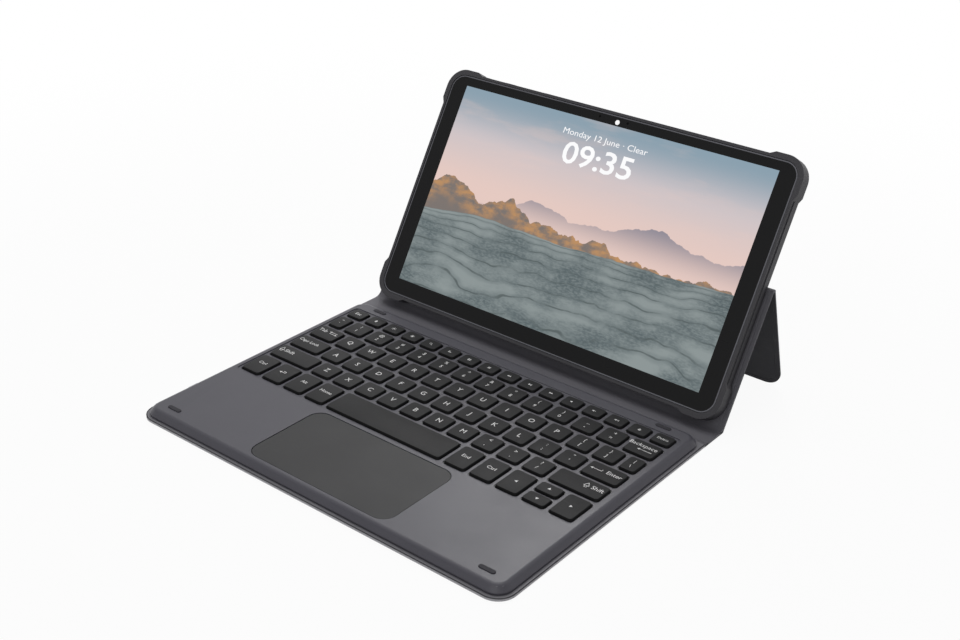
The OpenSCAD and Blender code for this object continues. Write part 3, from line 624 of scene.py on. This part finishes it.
def shiftArrow(x, side):   # an outlined arrow that points away from the user
    return [triangle(x, 1.6, 2.1, up, 1.8, side), bar(x, -0.75, 1.8, 0.3, side=side),
            bar(x - 0.75, -0.1, 0.3, 1.5, side=side), bar(x + 0.75, -0.1, 0.3, 1.5, side=side)]


def sun(radius):
    rays = [bar(1.25 * math.cos(turn), 1.25 * math.sin(turn), 0.5, 0.25, turn)
            for turn in [i * math.pi / 4 for i in range(8)]]
    return rays + [ring(0, 0, radius)]


def panes(count):
    corners = [(-0.6, -0.5), (0.6, -0.5), (-0.6, 0.5), (0.6, 0.5)]
    return [bar(x, y, 0.9, 0.7) for x, y in corners[:count]]


def speaker(waves):
    return [bar(0.7 + 0.6 * i, 0, 0.28, 0.8 + 0.6 * i) for i in range(waves)] + [
        bar(-1.1, 0, 0.5, 0.8), triangle(-0.5, 0, 0.9, left)]


keySigns = {   # by row and place
    (0, 0): [word("Esc", "short")],
    (0, 1): [triangle(0, 0.35, 1.1, up), bar(0, -0.55, 1.1, 0.9)],   # home
    (0, 2): sun(0.5),   # dimmer
    (0, 3): sun(0.75),   # brighter
    (0, 4): [ring(-0.2, 0.2, 0.85, 0.6), bar(0.75, -0.75, 0.9, 0.3, -math.pi / 4)],   # find
    (0, 5): panes(3),
    (0, 6): panes(4),
    (0, 7): [bar(0, y, 1.8, 0.3) for y in (-0.6, 0, 0.6)],   # list
    (0, 8): [triangle(-0.7, 0, 0.85, left), triangle(0.6, 0, 0.85, left)],   # back
    (0, 9): [triangle(-0.4, 0, 1.0, right), bar(1, 0, 0.35, 1.6)],   # play
    (0, 10): [triangle(-0.7, 0, 0.85, right), triangle(0.6, 0, 0.85, right)],   # on
    (0, 11): speaker(0),
    (0, 12): speaker(1),
    (0, 13): speaker(2),
    (0, 14): [bar(0, -0.4, 1.5, 1.1), ring(0, 0.3, 0.65, 0.4)],   # lock
    (0, 15): [word("Delete", "small")],
    (1, 13): [word("Backspace", "word", 0, 2.2, "RIGHT")] + arrow(2.5, -1.8, 8, left),
    (2, 0): [word("Tab", "word", 0, 1.6, "LEFT")] + arrow(3.6, 2.5, 5, left) + arrow(3.6, 0.7, 5, right),
    (3, 0): [word("Caps Lock", "long", 0, 1.4, "LEFT")],
    (3, 12): [word("Enter", "word", 0, 1.0, "RIGHT"), bar(-2.0, 0.95, 0.34, 1.5)] + arrow(-5.0, 0.2, 6, left),
    (4, 0): [word("Shift", "word", 4.2, 1.2, "LEFT")] + shiftArrow(1.8, "LEFT"),
    (4, 11): [word("Shift", "word", 0, 1.2, "RIGHT")] + shiftArrow(-10.5, "RIGHT"),
    (5, 0): [word("Ctrl", "short", 0, 1.2)],
    (5, 1): arrow(0, 0.8, 3.4, left) + [bar(1.7, 1.4, 0.35, 1.6), bar(0.6, 2.1, 2.4, 0.35)],   # return
    (5, 2): [word("Alt", "short", 0, 1.2)],
    (5, 3): [word("Home", "short", 0, 1.2)],
    (5, 5): [word("End", "short", 0, 1.2)],
    (5, 6): [word("Ctrl", "short", 0, 1.2)],
    (5, 7): [triangle(0, 0, 1.1, left)],
    (5, stackUp): [triangle(0, 0, 1.1, up)],
    (5, stackDown): [triangle(0, 0, 1.1, down)],
    (5, 9): [triangle(0, 0, 1.1, right)],
}
typedSigns = {   # by row and first place: letters, and pairs of a shifted and a plain sign
    (1, 0): list(zip("~!@#$%^&*()_+", "`1234567890-=")),
    (2, 1): list("QWERTYUIOP") + list(zip("{}|", "[]\\")),
    (3, 1): list("ASDFGHJKL") + list(zip(":\"", ";'")),
    (4, 1): list("ZXCVBNM") + list(zip("<>?", ",./")),
}
for (row, first), signs in typedSigns.items():
    for place, sign in enumerate(signs, first):
        if len(sign) == 1:
            keySigns[row, place] = [word(sign, "letter")]
        else:
            keySigns[row, place] = [word(sign[0], "sign", 0, legend["upper"]),
                                    word(sign[1], "sign", 0, legend["lower"])]


def drawSign(marks, x, y, z, width):   # x and y of the cap's centre and its width, in millimetres
    edge = width / 2 - legend["margin"]
    start = {"LEFT": x - edge, "CENTER": x, "RIGHT": x + edge}
    return [make(start[side] + markX, y + markY, z, *values) for make, side, markX, markY, values in marks]


inkOf = {}
for owner, row, place, x, y, width, depth in allKeys:
    marks = drawSign(keySigns.get((row, place), []), x, y, capHigh.z + legend["rise"] * mm, width)
    inkOf.setdefault(owner, []).extend(marks)
for owner, marks in inkOf.items():
    if marks:
        dress(joinPieces(marks, owner + "_legends"), nodeBody[owner], "legendInk")
print("legends made")

# The strips of leather that bend between two bodies, in millimetres: how far each reaches and blends from its
# fold line, the spine's crease, the fillet at the lid, and how the kickstand's strip lies over the top edge
folds = {
    "rows": 14, "sink": 0.02, "spineReach": 1.6, "spineBlend": 0.6, "creaseDepth": 0.25, "creaseWidth": 0.5,
    "lidReach": 4.0, "lidBlend": 1.5, "innerRound": 6.0, "innerRise": 0.03, "smoothUnder": 40,
    "kickReach": 2.0, "kickBlend": 0.8, "kickFlat": 0.7, "kickBend": 0.6, "kickThick": 1.3, "kickRise": 0.02,
}
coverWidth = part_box("base_cover_skin")[1].x * 2
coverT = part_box("spine_skin")[1].z / mm
spineY = joints["spine_fold"]["pos_m"][1] / mm
lidY = joints["lid_fold"]["pos_m"][1] / mm
kickY, kickZ = (c / mm for c in joints["kickstand_fold"]["pos_m"][1:])
panelDown = (-math.cos(lidAngle), -math.sin(lidAngle))
legDown = (math.cos(legAngle), -math.sin(legAngle))


# outer and inner give the section's two sides as (y, z) at a distance s from the fold line, in millimetres
def foldStrip(name, reach, outer, inner):
    startClean()
    bpy.ops.mesh.primitive_cube_add(size=1, location=(0, 0, 0), scale=(coverWidth, 2 * reach * mm, mm))
    strip = bpy.context.object
    strip.name = name
    bpy.ops.object.transform_apply(location=False, rotation=False, scale=True)
    bpy.ops.object.mode_set(mode="EDIT")
    for i in range(1, folds["rows"]):
        bpy.ops.mesh.select_all(action="SELECT")
        bpy.ops.mesh.bisect(plane_co=(0, reach * mm * (2 * i / folds["rows"] - 1), 0), plane_no=(0, 1, 0))
    bpy.ops.object.mode_set(mode="OBJECT")
    strip.data.materials.append(materials["liningLeather"])
    strip.data.materials.append(materials["coverLeather"])
    for face in strip.data.polygons:
        face.material_index = int(face.normal.z < -alongAxis)   # the cover's leather is on the outer side
    for vertex in strip.data.vertices:
        side = outer if vertex.co.z < 0 else inner
        vertex.co.y, vertex.co.z = (c * mm for c in side(vertex.co.y / mm))
    activate(strip)
    bpy.ops.object.mode_set(mode="EDIT")
    bpy.ops.mesh.select_all(action="SELECT")
    bpy.ops.mesh.normals_make_consistent(inside=False)
    bpy.ops.object.mode_set(mode="OBJECT")
    smoothShade(folds["smoothUnder"])
    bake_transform(strip)


def arcAt(centre, radius, angle):
    return centre[0] + radius * math.cos(angle), centre[1] + radius * math.sin(angle)


def spineOuter(s):
    return spineY + s, folds["sink"]


def spineInner(s):   # the lining dips into a crease along the fold line
    dip = folds["creaseDepth"] * math.exp(-(s / folds["creaseWidth"]) ** 2)
    return spineY + s, coverT + folds["innerRise"] - dip


def lidTurn(s):   # the angle on an arc that runs from the spine to the panel
    share = min(max(s / folds["lidReach"], -1), 1)
    return -math.pi / 2 + lidAngle / 2 + share * lidAngle / 2


def lidOuter(s):   # along the spine's underside, round the fold line, then up the panel's outer face
    return arcAt((lidY, coverT), coverT - folds["sink"], lidTurn(s))


def lidInner(s):   # a soft fillet between the spine and the panel
    radius = folds["innerRound"]
    back = radius * math.tan(lidAngle / 2)
    return arcAt((lidY - back, coverT + radius + folds["innerRise"]), radius, lidTurn(s))


def kickOuter(s):   # the skin runs down the panel's back and the leg's front, and creases at the fold line
    direction = panelDown if s < 0 else legDown
    length = abs(s) * folds["kickFlat"] / folds["kickReach"]
    return kickY + direction[0] * length, kickZ + direction[1] * length


def kickInner(s):   # the lining rounds over the top edge, from the panel's front to the leg's back
    share = s / folds["kickReach"]
    bend = (min(max(share / folds["kickBend"], -1), 1) + 1) / 2
    radius = coverT + (folds["kickThick"] - coverT) * bend + folds["kickRise"]
    start, end = math.pi / 2 + lidAngle, math.pi / 2 - legAngle
    y, z = arcAt((kickY, kickZ), radius, start + (end - start) * bend)
    direction = panelDown if share < 0 else legDown
    length = max(abs(share) - folds["kickBend"], 0) / (1 - folds["kickBend"]) * folds["kickFlat"]
    return y + direction[0] * length, z + direction[1] * length


foldStrip("spine_fold_leather", folds["spineReach"], spineOuter, spineInner)
foldStrip("lid_fold_leather", folds["lidReach"], lidOuter, lidInner)
foldStrip("kickstand_fold_leather", folds["kickReach"], kickOuter, kickInner)
print("folds made")

picture = {
    "skyTop": "#8ba2b1", "skyMiddle": "#cfc7cb", "skyLow": "#ebcec5", "farRange": "#8a8795",
    "warmLit": "#c0905f", "warmShade": "#7b726d",
    "fieldLight": "#8e9898", "fieldDark": "#566366", "furrow": "#4c5757",
    "unlit": (0.01, 0.01, 0.012, 1), "rough": 0.3, "shine": 0.2, "glow": 0.92,
    # where one colour fades into the next, in metres: heights on the display, and depths below the skyline
    "topFade": (0.13, 0.098), "lowFade": (0.112, 0.068), "mist": (0.084, 0.054), "warmFade": (0.002, 0.02),
    # skylines: level, swing, scale, place along the noise and lean
    "farRidge": (0.055, 0.03, 16.0, 4.3, 0.05), "warmRidge": (0.040, 0.042, 22.0, 9.7, -0.07),
    "fieldRidge": (0.048, 0.012, 9.0, 21.2, 0.02), "ridgeDetail": 6.0, "ridgeSoft": 0.0002,
    # patches: scale, detail, place in the noise, how flat they lie, and where they begin and are full
    "haze": (14, 4, 3.1, 5.0, 0.5, 0.75), "rock": (120, 8, 1.3, 1.8, 0.3, 0.7),
    "tint": (26, 6, 6.4, 2.2, 0.3, 0.7), "grass": (380, 8, 2.2, 2.6, 0.35, 0.7),
    "wornRows": (60, 4, 5.5, 1.0, 0.25, 0.65), "swirl": (13, 3, 8.8, 1.5), "patchRough": 0.55, "aside": 0.7,
    # terraces: how their rows crowd with distance, how much they bend and how close they lie, and where on
    # each row its bank and its furrow are
    "crowd": 0.6, "bend": 0.06, "rowsPerUnit": 290.0, "bank": (-0.6, 0.95), "furrowLine": (0.90, 0.995),
    # how strongly each of these is laid over what is under it
    "hazeShare": 0.25, "grassShare": 0.5, "bankShare": 0.3, "furrowShare": 0.8,
}


def makePicture():   # a made-up evening landscape: two ranges of hills behind terraced fields
    material, tree, shader = newMaterial("displayPicture")
    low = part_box("tablet_display")[0]
    foot = Matrix.Rotation(-lidAngle, 4, "X") @ Vector((0, low.y, low.z))
    place = addNode(tree, "ShaderNodeMapping", {"Vector": objectPlace(tree), "Location": (0, -foot.y, 0),
                                                "Rotation": (-lidAngle, 0, 0)})
    axes = addNode(tree, "ShaderNodeSeparateXYZ", {0: place.outputs[0]}).outputs
    across, upward = axes["X"], axes["Y"]

    def times(a, b):
        return maths(tree, "MULTIPLY", a, b)

    def cloud(scale, detail, offset, flat):
        spot = addNode(tree, "ShaderNodeCombineXYZ", {0: across, 1: times(upward, flat)})
        shifted = addNode(tree, "ShaderNodeVectorMath", {
            0: spot.outputs[0], 1: (offset, offset * picture["aside"], 0)}, operation="ADD")
        return addNode(tree, "ShaderNodeTexNoise", {
            "Vector": shifted.outputs[0], "Scale": scale, "Detail": detail,
            "Roughness": picture["patchRough"]}, noise_dimensions="2D").outputs["Fac"]

    def patches(name):
        *kind, begin, full = picture[name]
        return ramp(tree, cloud(*kind), begin, full)

    def ridge(name):   # 1 below a rolling skyline, and how far below it in metres
        level, swing, scale, offset, lean = picture[name]
        line = addNode(tree, "ShaderNodeTexNoise", {
            "W": maths(tree, "ADD", across, offset), "Scale": scale,
            "Detail": picture["ridgeDetail"]}, noise_dimensions="1D").outputs["Fac"]
        height = maths(tree, "MULTIPLY_ADD", across, lean, maths(tree, "MULTIPLY_ADD", line, swing, level))
        below = maths(tree, "SUBTRACT", height, upward)
        return ramp(tree, below, -picture["ridgeSoft"], picture["ridgeSoft"]), below

    def paint(mask, under, over):   # over covers under where the mask is 1, and a name is a colour from above
        tones = [colour(picture[tone]) if isinstance(tone, str) else tone for tone in (under, over)]
        return mixColour(tree, mask, *tones)
    sky = paint(ramp(tree, upward, *picture["topFade"]), "skyTop", "skyMiddle")
    sky = paint(ramp(tree, upward, *picture["lowFade"]), sky, "skyLow")
    sky = paint(times(patches("haze"), picture["hazeShare"]), sky, "skyLow")
    far = paint(ramp(tree, upward, *picture["mist"]), "farRange", "skyLow")
    scene = paint(ridge("farRidge")[0], sky, far)
    warmMask, warmDepth = ridge("warmRidge")
    lit = paint(patches("rock"), "warmShade", "warmLit")
    scene = paint(warmMask, scene, paint(ramp(tree, warmDepth, *picture["warmFade"]), lit, "warmShade"))
    fieldMask, fieldDepth = ridge("fieldRidge")
    field = paint(patches("tint"), "fieldDark", "fieldLight")
    field = paint(times(patches("grass"), picture["grassShare"]), field, "fieldLight")
    distance = maths(tree, "POWER", maths(tree, "MAXIMUM", fieldDepth, 0.0), picture["crowd"])
    rows = maths(tree, "ADD", distance, times(cloud(*picture["swirl"]), picture["bend"]))
    wave = maths(tree, "SINE", times(rows, picture["rowsPerUnit"]))
    bank = ramp(tree, wave, *picture["bank"])   # each terrace darkens towards its bank
    field = paint(times(bank, picture["bankShare"]), field, "fieldDark")
    furrow = times(ramp(tree, wave, *picture["furrowLine"]), patches("wornRows"))
    field = paint(times(furrow, picture["furrowShare"]), field, "furrow")
    feed(tree, shader, {
        "Base Color": picture["unlit"], "Roughness": picture["rough"], "Specular IOR Level": picture["shine"],
        "Emission Color": paint(fieldMask, scene, field), "Emission Strength": picture["glow"]})
    return material


nodes["tablet_display"].data.materials.clear()
nodes["tablet_display"].data.materials.append(makePicture())

# Sizes and places in millimetres, the places measured from the middle of the display's top edge
clock = {
    "time": "09:35", "timeSize": 13.8, "timeDrop": 23.5, "timeBold": 0.018,
    "date": "Monday 12 June · Clear", "dateSize": 3.8, "dateDrop": 10.5, "dateBold": 0.0,
    "shift": -1.0, "stretch": 1.22, "rise": 0.03, "colours": ("#f4f4f6", "#ffffff"), "mottle": 60.0,
    "unlit": (0.05, 0.05, 0.05, 1), "glow": 0.95,
}


def makeClock():
    ink, tree, shader = newMaterial("clockLight")
    mottle = addNoise(tree, objectPlace(tree), clock["mottle"]).outputs["Fac"]
    feed(tree, shader, {
        "Emission Color": mixColour(tree, mottle, *(colour(code) for code in clock["colours"])),
        "Base Color": clock["unlit"], "Emission Strength": clock["glow"]})
    tilt = Matrix.Rotation(lidAngle, 4, "X")
    normal = Vector((0, -math.sin(lidAngle), math.cos(lidAngle)))
    upward = Vector((0, math.cos(lidAngle), math.sin(lidAngle)))
    # the display's top edge on its front face: of all points, the furthest up and out of the display
    points = [v.co for v in nodes["tablet_display"].data.vertices]
    top = max(points, key=lambda point: point.dot(upward) + point.dot(normal) * 2)
    pieces = []
    for line in ("time", "date"):
        made = addText(0, 0, 0, clock[line], clock[line + "Size"], bold=clock[line + "Bold"])
        spot = Vector((clock["shift"] * mm, top.y, top.z)) - upward * clock[line + "Drop"] * mm
        spot += normal * clock["rise"] * mm
        made.data.transform(Matrix.Translation(spot) @ tilt @ Matrix.Diagonal((clock["stretch"], 1, 1, 1)))
        pieces.append(made)
    digits = joinPieces(pieces, "clock_digits")
    digits.data.materials.clear()
    digits.data.materials.append(ink)
    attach(digits, "tablet")


makeClock()
print("picture made")

# Lengths and places are in metres, and every lamp looks at the aim
studio = {
    "worldStrength": 0.22, "aim": (0, 0.02, 0.05),
    "lamps": {   # power in watts, size and place
        "keyLight": (9.0, 1.0, (-0.35, 0.4, 1.5)),
        "backLight": (3.3, 0.4, (-0.45, 0.85, 0.82)),
        "fillLight": (2.8, 1.0, (0.3, -0.9, 0.8)),
    },
    "floorSize": 6, "floorDrop": 0.0006, "floorColours": ("#dedede", "#e6e6e6"), "floorSpeck": 300.0,
    "floorRough": 0.9, "floorShine": 0.1,
    # how much plain white is laid over the floor near the case and away from it, and where it grows
    "whiteNear": 0.94, "whiteFar": 1.0, "whiteFrom": 0.25, "whiteTo": 0.8,
}


def seesBackground(tree):   # 1 for what the camera sees directly, in gloss or through glass
    rays = addNode(tree, "ShaderNodeLightPath").outputs
    beyond = maths(tree, "MAXIMUM", rays["Is Glossy Ray"], rays["Is Transmission Ray"])
    return maths(tree, "MAXIMUM", rays["Is Camera Ray"], beyond)


def makeFloor():   # what isn't plain white is the floor's own shading, which keeps the case's shadow
    startClean()
    bpy.ops.mesh.primitive_plane_add(size=studio["floorSize"], location=(0, 0, -studio["floorDrop"]))
    floor = bpy.context.object
    floor.name = "floor"
    material, tree, shader = newMaterial("paleFloor")
    place = objectPlace(tree)
    speck = addNoise(tree, place, studio["floorSpeck"]).outputs["Fac"]
    feed(tree, shader, {
        "Base Color": mixColour(tree, speck, *(colour(code) for code in studio["floorColours"])),
        "Roughness": studio["floorRough"], "Specular IOR Level": studio["floorShine"]})
    white = addNode(tree, "ShaderNodeEmission", {"Color": (1, 1, 1, 1), "Strength": 1.0})
    away = addNode(tree, "ShaderNodeVectorMath", {0: place}, operation="LENGTH").outputs["Value"]
    share = ramp(tree, away, studio["whiteFrom"], studio["whiteTo"], studio["whiteNear"], studio["whiteFar"])
    mix = addNode(tree, "ShaderNodeMixShader", {0: maths(tree, "MULTIPLY", seesBackground(tree), share),
                                                1: shader.outputs[0], 2: white.outputs[0]})
    feed(tree, tree.nodes["Material Output"], {"Surface": mix.outputs[0]})
    floor.data.materials.append(material)


def makeLights():   # a white room that lights the case more weakly than it shows
    world = bpy.data.worlds.new("softRoom")
    bpy.context.scene.world = world
    world.use_nodes = True
    air = world.node_tree
    dim = studio["worldStrength"]
    level = maths(air, "MULTIPLY_ADD", seesBackground(air), 1.0 - dim, dim)
    feed(air, air.nodes["Background"], {"Color": (1, 1, 1, 1), "Strength": level})
    for name, (power, size, place) in studio["lamps"].items():
        lamp = bpy.data.lights.new(name, "AREA")
        lamp.energy = power
        lamp.size = size
        holder = bpy.data.objects.new(name, lamp)
        bpy.context.scene.collection.objects.link(holder)
        holder.location = place
        holder.rotation_euler = (Vector(studio["aim"]) - Vector(place)).to_track_quat("-Z", "Y").to_euler()


# Angles in degrees, focal length in pixels of a picture of that width, and the rest in millimetres
view = {"yaw": 38.367, "pitch": 27.285, "roll": -1.291, "focal": 1403.0, "width": 960, "sensor": 36.0,
        "nearest": 10, "place": (436.73, -499.79, 412.03)}


def makeCamera():
    yaw, pitch, roll = (math.radians(view[key]) for key in ("yaw", "pitch", "roll"))
    ahead = Vector((-math.sin(yaw) * math.cos(pitch), math.cos(yaw) * math.cos(pitch), -math.sin(pitch)))
    level = Vector((math.cos(yaw), math.sin(yaw), 0))
    under = ahead.cross(level)
    across = math.cos(roll) * level + math.sin(roll) * under
    down = math.cos(roll) * under - math.sin(roll) * level
    lens = bpy.data.cameras.new("camera")
    lens.sensor_width = view["sensor"]
    lens.lens = view["focal"] * view["sensor"] / view["width"]
    lens.clip_start = view["nearest"] * mm
    camera = bpy.data.objects.new("camera", lens)
    bpy.context.scene.collection.objects.link(camera)
    turned = Matrix((across, -down, -ahead)).transposed().to_4x4()
    camera.matrix_world = Matrix.Translation(Vector(view["place"]) * mm) @ turned
    bpy.context.scene.camera = camera


makeFloor()
makeLights()
makeCamera()
bpy.context.scene.view_settings.view_transform = "Standard"
print("studio made")
